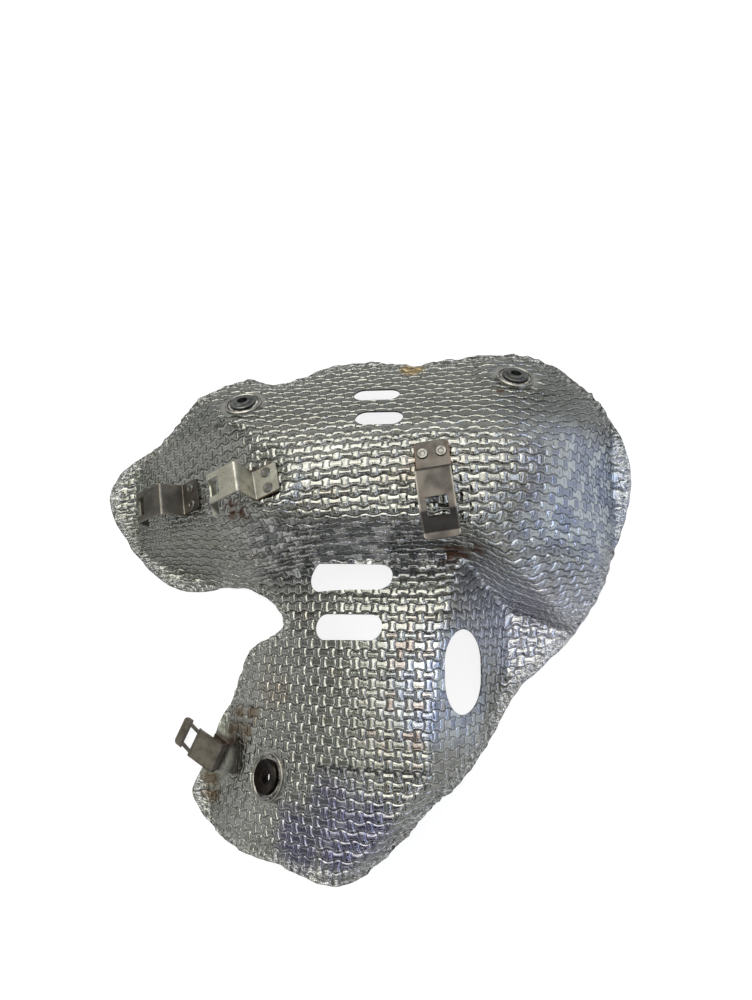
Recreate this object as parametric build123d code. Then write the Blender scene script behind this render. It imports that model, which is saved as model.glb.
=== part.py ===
"""Exhaust heat shield: one pressed and hemmed sheet with riveted clips and cushioned mounting bushes.

Millimetres, +Z up. The shield lies on its flange, with the ridge across the back.
"""
from build123d import *
import math
import os

# Sheet
sheet_thickness = 0.8
hem_width = 6.0
hem_thickness = 1.6
grid_step = 5.0
outline_spans = 24
blank_margin = 8.0
punch_depth = 16.0

# Ridge over the pipe: crown, back face, front wall and two ends
crown_height = 81.0
crown_line_y = 50.0
crown_radius = 68.0
back_edge_y = 136.0
back_edge_height = 18.0
back_slope = 1.15
wall_foot_y = 7.0
wall_slope = 2.3
wall_end_x = 60.0
wall_end_slope = 0.9
left_wall_point = (-69.0, 24.0, 26.0)
left_wall_slopes = (0.5, 1.2)
left_foot_x = -136.0
left_slope = 0.765
dome_start_x = 72.0
dome_radius = 55.0
dome_foot_x = 147.0
dome_slope = 1.9
right_front_point = (118.0, -30.0, 2.0)
right_front_slopes = (-0.85, 0.62)
back_corner_point = (113.0, 138.0, 5.0)
back_corner_slopes = (-0.72, -0.96)

# Panel in front of the ridge: top, two flanks, front facet and its cut corner
panel_height = 68.5
panel_top_point = (36.0, -90.0)
panel_top_tilt = 0.10
panel_top_radius = 210.0
left_flank_point = (-44.0, -54.0, 27.0)
left_flank_slopes = (0.75, -0.17)
left_flank_radius = 147.0
right_flank_foot_x = 86.0
right_flank_slope = 1.9
facet_point = (-96.0, 68.0)
facet_slope = 0.16
facet_corner_point = (42.0, -100.0, 63.0)
facet_corner_slopes = (-0.91, 0.92)

# Raised rim along the lower right edge
rim_start = (87.0, -53.5, 8.0)
rim_direction = (-0.61, -0.79)
rim_rise = 0.48
rim_top = 52.0
rim_width = 6.0
rim_inner_slope = 1.2

# Softness of the bends where the pressed faces meet
soft_bend = 3.5
wall_bend = 3.0
crease_bend = 1.2
foot_bend = 1.6

# Plan outline of the trimmed blank, anticlockwise from the left tip
outline_points = [
    (-156, 66), (-145, 38.5), (-125.5, 17), (-109, 7.7), (-93, 6.4), (-75, 8.6), (-56, 4), (-41.5, -4.5),
    (-38, -12.5), (-47, -20), (-62, -28), (-70, -45), (-81, -68.5), (-95, -101), (-98, -108), (-92, -121),
    (-76, -131), (-51.6, -134.5), (-18, -137.5), (7.5, -141), (19, -134), (32, -122), (47.5, -105),
    (66.5, -88), (76.5, -74), (88, -53), (115, -26.6), (133, -4), (149, 34), (156.5, 63), (153, 91),
    (139, 113.5), (113, 135.5), (88, 141.5), (52, 138.7), (34, 136), (14, 139.5), (-13, 137), (-28, 129.5),
    (-40, 124.5), (-59, 129), (-77, 122), (-101, 106), (-123, 93), (-142, 86),
]

# Slots and hole: plan centre, length along X, width, turn in the sheet's face
slots = [
    ((19.0, 112.3), 25.5, 12.0, -2.0),
    ((23.2, 95.6), 25.5, 12.0, -2.0),
    ((2.8, 13.4), 49.0, 15.0, 0.0),
    ((3.0, -13.4), 41.0, 14.0, 0.0),
]
oval_centre = (64.6, -36.6)
oval_length = 44.0
oval_width = 36.0

# Cushioned bushes: two upper ones with a raised collar, and a larger, dished one at the lower left
upper_bush = {
    "pad": 14.5,
    "ring": 10.6,
    "ring_bore": 9.1,
    "flange": 7.3,
    "flange_thickness": 1.2,
    "collar": 4.6,
    "collar_edge": 5.2,
    "collar_rise": 0.5,
    "barrel": 4.9,
    "bore": 2.9,
}
lower_bush = {
    "pad": 17.0,
    "ring": 13.0,
    "ring_bore": 11.4,
    "flange": 9.6,
    "flange_thickness": 1.9,
    "collar": 4.8,
    "collar_edge": 8.8,
    "collar_rise": -1.1,
    "barrel": 5.6,
    "bore": 3.4,
}
bush_places = {
    "upper_left": ((-55.6, 109.0), upper_bush),
    "upper_right": ((93.7, 122.3), upper_bush),
    "lower_left": ((-42.1, -93.9), lower_bush),
}
pad_fade = 11.0
ring_wall = 0.7
ring_lip = 0.9
seat_clearance = 0.15
cushion_clearance = 0.1
cushion_height = 2.4
bush_tail_step = 0.7
washer_thickness = 1.2
washer_clearance = 0.05

# Clips: plan place of the bend at the sheet, and the way the strip points
clip_places = {
    "left_end_clip": ((-96.5, 57.5), 194.0),
    "left_clip": ((-40.5, 58.5), 201.0),
    "centre_clip": ((53.5, 65.0), 278.5),
    "lower_clip": ((-78.2, -89.0), 151.0),
}
# Legs of each strip after its base: length and angle to the base of riser, top, drop and lip
clip_legs = {
    "left_end_clip": [(15.0, 90.0), (21.5, 8.0), (12.0, -58.0), (3.7, 0.0)],
    "left_clip": [(15.0, 90.0), (18.0, 0.0), (12.0, -75.0), (3.7, 0.0)],
    "centre_clip": [(15.0, 65.0), (21.5, 0.0), (12.0, -52.0), (3.7, 0.0)],
    "lower_clip": [(5.5, 95.0), (16.5, 5.0), (11.5, -15.0), (4.3, 5.0)],
}
# Window through each strip: over the bend between top and drop, or in the drop alone
window_back = 7.0
window_down = 3.5
window_overrun = 1.0
drop_window = (1.8, 10.0)
clip_thickness = 0.9
clip_width = 17.8
clip_bend = 1.2
clip_corner = 2.5
clip_base = 15.0
folded_base = 10.5
window_width = 10.5
window_depth = 4.0
waist_depth = 1.6
clip_pad_radius = 13.0
folded_pad_radius = 10.0
folded_pad_fade = 14.0
folded_slope_share = 0.75
left_clip_tilt = -0.28

# Rivets
rivet_pitch = 9.4
rivet_setback = 8.4
folded_rivet_setback = 6.0
rivet_head_radius = 2.9
rivet_head_height = 0.7
rivet_dish_radius = 1.5
rivet_dish_depth = 0.35
rivet_shank_radius = 1.6
rivet_tail_radius = 2.4
rivet_tail_height = 0.6
rivet_hole_clearance = 0.1


def soft_min(spread, *heights):
    """Lowest of several heights, with the corner between two faces rounded."""
    low = min(heights)
    return low - spread * math.log(sum(math.exp((low - h) / spread) for h in heights))


def soft_max(spread, *heights):
    """Highest of several heights, with the corner between two faces rounded."""
    return -soft_min(spread, *[-h for h in heights])


def sloped(point, slopes, x, y):
    """Height of a plane through a point with slopes along X and Y."""
    return point[2] + slopes[0] * (x - point[0]) + slopes[1] * (y - point[1])


def ridge_height(x, y):
    """Half pipe across the back, closed by a sloped left end and a round right end."""
    crown = crown_height - max(y - crown_line_y, 0) ** 2 / (2 * crown_radius)
    back = back_edge_height + back_slope * (back_edge_y - y)
    wall = wall_slope * (y - wall_foot_y) + wall_end_slope * max(x - wall_end_x, 0)
    left_end = left_slope * (x - left_foot_x)
    dome = crown_height - max(x - dome_start_x, 0) ** 2 / (2 * dome_radius)
    right_end = soft_min(soft_bend, dome, dome_slope * (dome_foot_x - x))
    left_wall = sloped(left_wall_point, left_wall_slopes, x, y)
    right_front = sloped(right_front_point, right_front_slopes, x, y)
    back_corner = sloped(back_corner_point, back_corner_slopes, x, y)
    cap = soft_min(soft_bend, crown, right_end, soft_min(soft_bend, back, left_end, back_corner))
    return soft_min(wall_bend, wall, soft_min(soft_bend, cap, left_wall, right_front))


def panel_height_at(x, y):
    """Front panel: a crested top between two flanks, with a facet and a cut corner at the tip."""
    from_tip = max(y - panel_top_point[1], 0)
    top = panel_height + panel_top_tilt * (x - panel_top_point[0]) - from_tip**2 / (2 * panel_top_radius)
    bow = (min(x, dome_start_x) - left_flank_point[0]) ** 2 / (2 * left_flank_radius)
    left = sloped(left_flank_point, left_flank_slopes, x, y) - bow
    right = right_flank_slope * (right_flank_foot_x - x)
    facet = facet_point[1] + facet_slope * (y - facet_point[0])
    corner = sloped(facet_corner_point, facet_corner_slopes, x, y)
    roof = soft_min(wall_bend, soft_min(soft_bend, left, top), right)
    return soft_min(crease_bend, corner, soft_min(crease_bend, facet, roof))


def rim_height(x, y):
    """Narrow flange that climbs from the right side to the front tip."""
    dx = x - rim_start[0]
    dy = y - rim_start[1]
    along = dx * rim_direction[0] + dy * rim_direction[1]
    outward = dy * rim_direction[0] - dx * rim_direction[1]
    level = soft_min(soft_bend, rim_start[2] + rim_rise * along, rim_top)
    return level - rim_inner_slope * max(-outward - rim_width, 0)


def formed_height(x, y):
    """Top face of the pressed sheet before the flat seats are struck."""
    body = soft_max(wall_bend, ridge_height(x, y), panel_height_at(x, y))
    return soft_max(foot_bend, body, rim_height(x, y), 0.0)


def formed_slopes(x, y, reach):
    """Mean slopes along X and Y over a seat."""
    slope_x = (formed_height(x + reach, y) - formed_height(x - reach, y)) / (2 * reach)
    slope_y = (formed_height(x, y + reach) - formed_height(x, y - reach)) / (2 * reach)
    return slope_x, slope_y


def make_seat(place, radius):
    """Flat round seat struck into the form: plan place, radius, height and slopes."""
    slopes = formed_slopes(*place, radius / 2)
    return {"point": (*place, formed_height(*place)), "slopes": slopes, "radius": radius, "fade": pad_fade}


def make_flange_seat(place, radius):
    """Flat round seat that starts at the flange's level and rises inwards by a share of the form's slope."""
    slopes = [slope * folded_slope_share for slope in formed_slopes(*place, radius)]
    rise = math.hypot(*slopes) * radius
    return {"point": (*place, rise), "slopes": slopes, "radius": radius, "fade": folded_pad_fade}


def clip_direction(name):
    """Plan direction in which a clip points away from its base."""
    angle = math.radians(clip_places[name][1])
    return math.cos(angle), math.sin(angle)


def clip_base_centre(name):
    """Plan centre of a clip's base: behind the bend, or under the strip where the base is folded back."""
    (x, y), _ = clip_places[name]
    along = folded_base / 2 if name == "lower_clip" else -clip_base / 2
    dx, dy = clip_direction(name)
    return x + along * dx, y + along * dy


bush_seats = {name: make_seat(place, size["pad"]) for name, (place, size) in bush_places.items()}
clip_seats = {name: make_seat(clip_base_centre(name), clip_pad_radius) for name in clip_places}
# The left clip stands just behind the crest, so its seat also leans to the back
clip_seats["left_clip"]["slopes"] = (clip_seats["left_clip"]["slopes"][0], left_clip_tilt)
clip_seats["lower_clip"] = make_flange_seat(clip_base_centre("lower_clip"), folded_pad_radius)


def seat_distance(seat, x, y):
    """Distance from a seat's axis, measured in the seat's own plane."""
    dx = x - seat["point"][0]
    dy = y - seat["point"][1]
    rise = seat["slopes"][0] * dx + seat["slopes"][1] * dy
    return math.sqrt(dx * dx + dy * dy + rise * rise)


def sheet_height(x, y):
    """Top face of the finished sheet: the pressed form with its flat seats."""
    height = formed_height(x, y)
    for seat in [*bush_seats.values(), *clip_seats.values()]:
        away = (seat_distance(seat, x, y) - seat["radius"]) / seat["fade"]
        fade = min(max(away, 0.0), 1.0)
        keep = fade * fade * (3 - 2 * fade)
        height = keep * height + (1 - keep) * sloped(seat["point"], seat["slopes"], x, y)
    return height


def surface_point(x, y, depth):
    """Point at a depth under the sheet's top face, along the face's normal."""
    step = grid_step / 10
    slope_x = (sheet_height(x + step, y) - sheet_height(x - step, y)) / (2 * step)
    slope_y = (sheet_height(x, y + step) - sheet_height(x, y - step)) / (2 * step)
    scale = depth / math.sqrt(1 + slope_x**2 + slope_y**2)
    return Vector(x + slope_x * scale, y + slope_y * scale, sheet_height(x, y) - scale)


def block_under(depth, floor):
    """Solid block whose upper face is the sheet's face at a depth."""
    low_x = min(p[0] for p in outline_points) - blank_margin
    high_x = max(p[0] for p in outline_points) + blank_margin
    low_y = min(p[1] for p in outline_points) - blank_margin
    high_y = max(p[1] for p in outline_points) + blank_margin
    columns = math.ceil((high_x - low_x) / grid_step)
    rows = math.ceil((high_y - low_y) / grid_step)
    xs = [low_x + (high_x - low_x) * i / columns for i in range(columns + 1)]
    ys = [low_y + (high_y - low_y) * j / rows for j in range(rows + 1)]
    stations = [j / rows for j in range(rows + 1)]
    sections = []
    for x in xs:
        points = [surface_point(x, y, depth) for y in ys]
        sections.append(Wire([Edge.make_spline(points, parameters=stations)]))
    face = Shell.make_loft(sections).faces()[0]
    return extrude(face, amount=floor, dir=(0, 0, -1))


def inset_outline(distance):
    """Outline points moved inwards by a distance."""
    count = len(outline_points)
    moved = []
    for i, (x, y) in enumerate(outline_points):
        before = outline_points[i - 1]
        after = outline_points[(i + 1) % count]
        run_x = after[0] - before[0]
        run_y = after[1] - before[1]
        length = math.hypot(run_x, run_y)
        moved.append((x - run_y / length * distance, y + run_x / length * distance))
    return moved


def outline_prism(points):
    """Tall prism over a closed smooth outline."""
    loop = Spline(*points, periodic=True)
    cuts = [i / outline_spans for i in range(outline_spans + 1)]
    face = make_face([loop.trim(a, b) for a, b in zip(cuts, cuts[1:])])
    tall = crown_height + 2 * punch_depth
    return extrude(Pos(0, 0, -punch_depth) * face, amount=tall)


def face_plane(x, y):
    """Plane on the sheet's top face, with its own X as near the frame's X as it can be."""
    slope_x, slope_y = formed_slopes(x, y, clip_pad_radius / 4)
    normal = Vector(-slope_x, -slope_y, 1)
    return Plane(origin=(x, y, sheet_height(x, y)), x_dir=(1, 0, slope_x), z_dir=normal)


def seat_plane(seat, direction=(1.0, 0.0)):
    """Plane of a flat seat, with its X along a plan direction."""
    slope_x, slope_y = seat["slopes"]
    dx, dy = direction
    along = Vector(dx, dy, slope_x * dx + slope_y * dy)
    return Plane(origin=seat["point"], x_dir=along, z_dir=Vector(-slope_x, -slope_y, 1))


def make_sheet():
    """Pressed sheet: a skin as thick as the hem, thinned inside it, then punched."""
    deep = crown_height + punch_depth
    blank = outline_prism(outline_points) & block_under(0.0, deep)
    below_hem = block_under(hem_thickness, 2 * deep)
    below_sheet = block_under(sheet_thickness, 2 * deep)
    sheet = blank - below_hem - (outline_prism(inset_outline(hem_width)) & below_sheet)
    for (x, y), length, width, turn in slots:
        slot = face_plane(x, y) * Rot(0, 0, turn) * SlotOverall(length, width)
        sheet = sheet - extrude(slot, amount=punch_depth, both=True)
    oval = face_plane(*oval_centre) * Rot(0, 0, 90) * SlotOverall(oval_length, oval_width)
    sheet = sheet - extrude(oval, amount=punch_depth, both=True)
    for name, (_, size) in bush_places.items():
        bush_hole = Cylinder(size["ring_bore"] + ring_wall + seat_clearance, 2 * punch_depth)
        sheet = sheet - seat_plane(bush_seats[name]) * bush_hole
    rivet_hole = Cylinder(rivet_shank_radius + rivet_hole_clearance, 2 * punch_depth)
    for name in clip_places:
        for spot in rivet_spots(name):
            sheet = sheet - clip_plane(name) * Pos(*spot) * rivet_hole
    return sheet


def turned(profile):
    """Solid of revolution about Z from a profile in the XZ plane."""
    return revolve(make_face(Plane.XZ * profile), Axis.Z)


def make_ring(size):
    """Retaining ring crimped round the edge of a bush hole."""
    top = seat_clearance
    bottom = -sheet_thickness - seat_clearance
    bore = size["ring_bore"]
    outer = size["ring"]
    wall = bore + ring_wall
    return turned(
        Polyline(
            (bore, top + ring_lip / 2),
            (wall, top + ring_lip),
            (outer, top + ring_lip / 2),
            (outer, top),
            (wall, top),
            (wall, bottom),
            (outer, bottom),
            (outer, bottom - ring_lip / 2),
            (wall, bottom - ring_lip),
            (bore, bottom - ring_lip / 2),
            close=True,
        )
    )


cushion_middle = -sheet_thickness / 2
cushion_top = cushion_middle + cushion_height / 2
cushion_bottom = cushion_middle - cushion_height / 2
flange_under = cushion_top + cushion_clearance
washer_top = cushion_bottom - cushion_clearance
washer_bottom = washer_top - washer_thickness


def make_cushion(size):
    """Knitted wire cushion between the ring and the bush."""
    inner = size["barrel"] + cushion_clearance
    outer = size["ring_bore"] - cushion_clearance
    shoulder = cushion_height / 4
    return turned(
        Polyline(
            (inner, cushion_bottom),
            (outer - shoulder, cushion_bottom),
            (outer, cushion_bottom + shoulder),
            (outer, cushion_top - shoulder),
            (outer - shoulder, cushion_top),
            (inner, cushion_top),
            close=True,
        )
    )


def make_sleeve(size):
    """Flanged bush, raised or dished round its bore, with a shouldered tail for the washer."""
    flange_top = flange_under + size["flange_thickness"]
    bevel = size["flange_thickness"] / 3
    tail = size["barrel"] - bush_tail_step
    return turned(
        Polyline(
            (size["bore"], flange_top + size["collar_rise"]),
            (size["collar"], flange_top + size["collar_rise"]),
            (size["collar_edge"], flange_top),
            (size["flange"] - bevel, flange_top),
            (size["flange"], flange_top - bevel),
            (size["flange"], flange_under),
            (size["barrel"], flange_under),
            (size["barrel"], washer_top),
            (tail, washer_top),
            (tail, washer_bottom),
            (size["bore"], washer_bottom),
            close=True,
        )
    )


def make_washer(size):
    """Washer on the bush's tail, under the wire cushion."""
    washer = Circle(size["flange"]) - Circle(size["barrel"] - bush_tail_step + washer_clearance)
    return extrude(Pos(0, 0, washer_bottom) * washer, amount=washer_thickness - washer_clearance)


def clip_plane(name):
    """Plane of a clip's base on its seat: X along the strip, origin at the bend."""
    direction = clip_direction(name)
    plane = seat_plane(clip_seats[name], direction)
    back = -folded_base / 2 if name == "lower_clip" else clip_base / 2
    return plane * Pos(back, 0, 0)


def strip_path(start, legs):
    """Points of a bent strip from its start, given each leg's length and angle."""
    points = [start]
    for length, angle in legs:
        x, z = points[-1]
        turn = math.radians(angle)
        points.append((x + length * math.cos(turn), z + length * math.sin(turn)))
    return points


def clip_windows(name):
    """Stretches of a clip's legs that its window takes: leg, start and end."""
    if name == "lower_clip":
        return [(2, *drop_window)]
    top = clip_legs[name][1][0]
    return [(1, top - window_back, top + window_overrun), (2, -window_overrun, window_down)]


def on_leg(points, legs, window):
    """Middle of a stretch of a strip's leg, turned along the leg."""
    leg, start, end = window
    x, z = points[leg]
    angle = legs[leg][1]
    middle = (start + end) / 2
    along = math.radians(angle)
    return Pos(x + middle * math.cos(along), 0, z + middle * math.sin(along)) * Rot(0, -angle, 0)


def make_clip(name):
    """Bent strip clip with rounded corners, rivet holes and a window at its end."""
    folded = name == "lower_clip"
    base_end = folded_base if folded else -clip_base
    level = seat_clearance + clip_thickness / 2
    legs = clip_legs[name]
    points = strip_path((0.0, level), legs)
    path = Plane.XZ * FilletPolyline((base_end, level), *points, radius=clip_bend)
    band = offset(path, amount=clip_thickness / 2, side=Side.BOTH, kind=Kind.INTERSECTION)
    clip = extrude(make_face(band), amount=clip_width / 2, both=True)
    near_end = -clip_width if folded else -clip_base
    far_end = points[-1][0]
    plan = Pos((near_end + far_end) / 2, 0, 0) * RectangleRounded(far_end - near_end, clip_width, clip_corner)
    clip = clip & extrude(plan, amount=2 * clip_width, both=True)
    for window in clip_windows(name):
        stretch = window[2] - window[1]
        clip = clip - on_leg(points, legs, window) * Box(stretch, window_width, window_depth)
        if folded:
            waist = Box(stretch, 2 * waist_depth, window_depth)
            for side in (-clip_width / 2, clip_width / 2):
                clip = clip - on_leg(points, legs, window) * Pos(0, side, 0) * waist
    for x, y in rivet_spots(name):
        clip = clip - Pos(x, y, level) * Cylinder(rivet_shank_radius + rivet_hole_clearance, 3 * clip_thickness)
    return clip


def rivet_spots(name):
    """Places of a clip's two rivets in its base plane."""
    x = folded_rivet_setback if name == "lower_clip" else -rivet_setback
    return [(x, -rivet_pitch / 2), (x, rivet_pitch / 2)]


def make_rivet(grip):
    """Rivet with a dished head on the clip and a flat tail under sheet of the gripped thickness."""
    head = clip_thickness + 2 * seat_clearance
    tail = -grip - seat_clearance
    return turned(
        Polyline(
            (0, tail - rivet_tail_height),
            (rivet_tail_radius, tail - rivet_tail_height),
            (rivet_tail_radius, tail),
            (rivet_shank_radius, tail),
            (rivet_shank_radius, head),
            (rivet_head_radius, head),
            (rivet_head_radius - rivet_head_height / 2, head + rivet_head_height),
            (rivet_dish_radius, head + rivet_head_height),
            (rivet_dish_radius - rivet_dish_depth, head + rivet_head_height - rivet_dish_depth),
            (0, head + rivet_head_height - rivet_dish_depth),
            close=True,
        )
    )


def make_parts():
    """All pieces by node name, in the frame of the pressed form."""
    parts = {"shield_sheet": make_sheet()}
    for name, (_, size) in bush_places.items():
        plane = seat_plane(bush_seats[name])
        parts[name + "_ring"] = plane * make_ring(size)
        parts[name + "_wire_cushion"] = plane * make_cushion(size)
        parts[name + "_bush"] = plane * make_sleeve(size)
        parts[name + "_washer"] = plane * make_washer(size)
    for name in clip_places:
        plane = clip_plane(name)
        parts[name] = plane * make_clip(name)
        grip = hem_thickness if name == "lower_clip" else sheet_thickness
        rivets = [plane * Pos(*spot) * make_rivet(grip) for spot in rivet_spots(name)]
        parts[name + "_rivets"] = Compound(children=rivets)
    return parts


def main():
    os.makedirs("parts", exist_ok=True)
    parts = make_parts()
    boxes = [piece.bounding_box() for piece in parts.values()]
    middle_x = (min(b.min.X for b in boxes) + max(b.max.X for b in boxes)) / 2
    middle_y = (min(b.min.Y for b in boxes) + max(b.max.Y for b in boxes)) / 2
    lowest = min(b.min.Z for b in boxes)
    for node, piece in parts.items():
        export_step(Pos(-middle_x, -middle_y, -lowest) * piece, f"parts/{node}.step")


main()
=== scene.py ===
import bpy
import math
import numpy as np
from mathutils import Matrix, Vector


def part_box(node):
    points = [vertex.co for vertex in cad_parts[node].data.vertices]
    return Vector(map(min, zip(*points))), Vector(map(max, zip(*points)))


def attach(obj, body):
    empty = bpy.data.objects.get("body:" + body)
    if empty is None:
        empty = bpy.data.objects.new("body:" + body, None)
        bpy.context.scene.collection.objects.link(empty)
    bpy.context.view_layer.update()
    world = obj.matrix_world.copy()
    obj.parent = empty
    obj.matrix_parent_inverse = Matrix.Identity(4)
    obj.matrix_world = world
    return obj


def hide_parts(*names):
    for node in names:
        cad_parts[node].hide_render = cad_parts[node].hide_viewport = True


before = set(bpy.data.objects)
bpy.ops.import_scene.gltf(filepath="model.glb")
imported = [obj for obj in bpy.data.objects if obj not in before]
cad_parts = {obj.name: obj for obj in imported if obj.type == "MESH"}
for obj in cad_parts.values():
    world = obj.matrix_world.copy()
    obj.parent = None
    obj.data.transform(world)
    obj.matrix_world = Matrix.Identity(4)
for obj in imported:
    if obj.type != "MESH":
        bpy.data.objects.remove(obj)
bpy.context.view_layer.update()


# The shield is one blank of thin bright steel, rolled with a woven relief all over, then pressed
# into a half pipe across the back with a crested panel in front of it. Its edge is hemmed under,
# and the press leaves the hem crumpled. Lengths are millimetres until a mesh is made.
sheet_thickness = 0.8
hem_width = 6.0
hem_thickness = 1.6
weave_cell = 5.0
weave_depth = 0.62
weave_sway = 0.16
crown_height = 81.0
dome_start_x = 72.0
rim_start = (87.0, -53.5)
rim_way = (-0.61, -0.79)
soft_bend, wall_bend, crease_bend, foot_bend = 3.5, 3.0, 1.2, 1.6
seat_fade = 11.0
clip_pad_radius = 13.0
left_clip_tilt = -0.28
folded_pad_radius, folded_pad_fade, folded_slope_share = 10.0, 14.0, 0.75
edge_points = 480
edge_wobble, edge_inset = 0.55, 0.3
ring_cover, ring_fade = 1.2, 3.0
smooth_reach, smooth_fade = 14.0, 10.0
floor_gap = 0.0004
bush_places = {
    "upper_left": (-55.6, 109.0, 14.5),
    "upper_right": (93.7, 122.3, 14.5),
    "lower_left": (-42.1, -93.9, 17.0),
}
bush_hole = {"upper_left": 19.9, "upper_right": 19.9, "lower_left": 24.5}
clip_feet = {
    "left_end_clip": (-96.5, 57.5, 194.0, -7.5),
    "left_clip": (-40.5, 58.5, 201.0, -7.5),
    "centre_clip": (53.5, 65.0, 278.5, -7.5),
    "lower_clip": (-78.2, -89.0, 151.0, 5.25),
}
outline = np.array([
    (-156, 66), (-145, 38.5), (-125.5, 17), (-109, 7.7), (-93, 6.4), (-75, 8.6), (-56, 4), (-41.5, -4.5),
    (-38, -12.5), (-47, -20), (-62, -28), (-70, -45), (-81, -68.5), (-95, -101), (-98, -108), (-92, -121),
    (-76, -131), (-51.6, -134.5), (-18, -137.5), (7.5, -141), (19, -134), (32, -122), (47.5, -105),
    (66.5, -88), (76.5, -74), (88, -53), (115, -26.6), (133, -4), (149, 34), (156.5, 63), (153, 91),
    (139, 113.5), (113, 135.5), (88, 141.5), (52, 138.7), (34, 136), (14, 139.5), (-13, 137), (-28, 129.5),
    (-40, 124.5), (-59, 129), (-77, 122), (-101, 106), (-123, 93), (-142, 86),
])
punched = {
    "back_slot": (19.0, 112.3, 25.5, 12.0, -2.0),
    "second_back_slot": (23.2, 95.6, 25.5, 12.0, -2.0),
    "middle_slot": (2.8, 13.4, 49.0, 15.0, 0.0),
    "second_middle_slot": (3.0, -13.4, 41.0, 14.0, 0.0),
    "oval": (64.6, -36.6, 44.0, 36.0, 90.0),
}


def soft_low(spread, *heights):
    """Lowest of several heights with rounded corners: -spread * log(sum(exp(-height / spread)))."""
    stack = np.stack(np.broadcast_arrays(*heights))
    low = stack.min(axis=0)
    return low - spread * np.log(np.exp((low - stack) / spread).sum(axis=0))


def soft_high(spread, *heights):
    """Highest of several heights with rounded corners, the mirror of the lowest."""
    return -soft_low(spread, *[-np.asarray(h, float) for h in heights])


def tilted(point, slopes, x, y):
    """Plane through a point: height + slope_x * dx + slope_y * dy."""
    return point[2] + slopes[0] * (x - point[0]) + slopes[1] * (y - point[1])


def ridge(x, y):
    """Half pipe: the lowest of crown, back face, two ends and three corner planes, cut by the front wall."""
    crown = crown_height - np.maximum(y - 50.0, 0) ** 2 / 136.0
    back = 18.0 + 1.15 * (136.0 - y)
    wall = 2.3 * (y - 7.0) + 0.9 * np.maximum(x - 60.0, 0)
    left_end = 0.765 * (x + 136.0)
    dome = crown_height - np.maximum(x - dome_start_x, 0) ** 2 / 110.0
    right_end = soft_low(soft_bend, dome, 1.9 * (147.0 - x))
    left_wall = tilted((-69.0, 24.0, 26.0), (0.5, 1.2), x, y)
    right_front = tilted((118.0, -30.0, 2.0), (-0.85, 0.62), x, y)
    back_corner = tilted((113.0, 138.0, 5.0), (-0.72, -0.96), x, y)
    cap = soft_low(soft_bend, crown, right_end, soft_low(soft_bend, back, left_end, back_corner))
    return soft_low(wall_bend, wall, soft_low(soft_bend, cap, left_wall, right_front))


def panel(x, y):
    """Front panel: the lowest of a crested top, two flanks, the front facet and its cut corner."""
    top = 68.5 + 0.10 * (x - 36.0) - np.maximum(y + 90.0, 0) ** 2 / 420.0
    bow = (np.minimum(x, dome_start_x) + 44.0) ** 2 / 294.0
    left = tilted((-44.0, -54.0, 27.0), (0.75, -0.17), x, y) - bow
    right = 1.9 * (86.0 - x)
    facet = 68.0 + 0.16 * (y + 96.0)
    corner = tilted((42.0, -100.0, 63.0), (-0.91, 0.92), x, y)
    roof = soft_low(wall_bend, soft_low(soft_bend, left, top), right)
    return soft_low(crease_bend, corner, soft_low(crease_bend, facet, roof))


def rim(x, y):
    """Narrow flange that climbs along the lower right edge and falls away inside it."""
    dx, dy = x - rim_start[0], y - rim_start[1]
    along = dx * rim_way[0] + dy * rim_way[1]
    outward = dy * rim_way[0] - dx * rim_way[1]
    level = soft_low(soft_bend, 8.0 + 0.48 * along, 52.0)
    return level - 1.2 * np.maximum(-outward - 6.0, 0)


def pressed(x, y):
    """Form of the press: the highest of ridge, panel, rim and the flat flange."""
    body = soft_high(wall_bend, ridge(x, y), panel(x, y))
    return soft_high(foot_bend, body, rim(x, y), 0.0)


def mean_slopes(x, y, r):
    """Mean slopes of the press's form along X and Y, over a span of r to each side."""
    return (pressed(x + r, y) - pressed(x - r, y)) / (2 * r), (pressed(x, y + r) - pressed(x, y - r)) / (2 * r)


def struck_seat(x, y, radius):
    """Flat seat at a plan place: its point, its mean slopes over half its radius, its radius and its fade."""
    return (x, y, float(pressed(x, y))), mean_slopes(x, y, radius / 2), radius, seat_fade


bush_seats = {name: struck_seat(*place) for name, place in bush_places.items()}
clip_seats = {}
for name, (x, y, turn, back) in clip_feet.items():
    foot = (x + back * math.cos(math.radians(turn)), y + back * math.sin(math.radians(turn)))
    clip_seats[name] = struck_seat(*foot, clip_pad_radius)
# The left clip's seat leans to the back. The lower clip's rises from the flange by 3/4 of the form's slope.
point, slopes, radius, fade = clip_seats["left_clip"]
clip_seats["left_clip"] = (point, (slopes[0], left_clip_tilt), radius, fade)
x, y, _ = clip_seats["lower_clip"][0]
slopes = tuple(slope * folded_slope_share for slope in mean_slopes(x, y, folded_pad_radius))
folded_point = (x, y, math.hypot(*slopes) * folded_pad_radius)
clip_seats["lower_clip"] = (folded_point, slopes, folded_pad_radius, folded_pad_fade)


def seat_reach(seat, x, y):
    """Distance from a seat's middle in the seat's own plane."""
    (px, py, _), (sx, sy), _, _ = seat
    return np.sqrt((x - px) ** 2 + (y - py) ** 2 + (sx * (x - px) + sy * (y - py)) ** 2)


def formed(x, y):
    """Pressed form with the flat seats faded in by a smooth step."""
    height = pressed(x, y)
    for seat in [*bush_seats.values(), *clip_seats.values()]:
        away = np.clip((seat_reach(seat, x, y) - seat[2]) / seat[3], 0, 1)
        keep = away * away * (3 - 2 * away)
        height = keep * height + (1 - keep) * tilted(seat[0], seat[1], x, y)
    return height


def slopes_at(x, y):
    """Slopes of the formed sheet by central differences over 1 mm."""
    return formed(x + 0.5, y) - formed(x - 0.5, y), formed(x, y + 0.5) - formed(x, y - 0.5)


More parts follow.
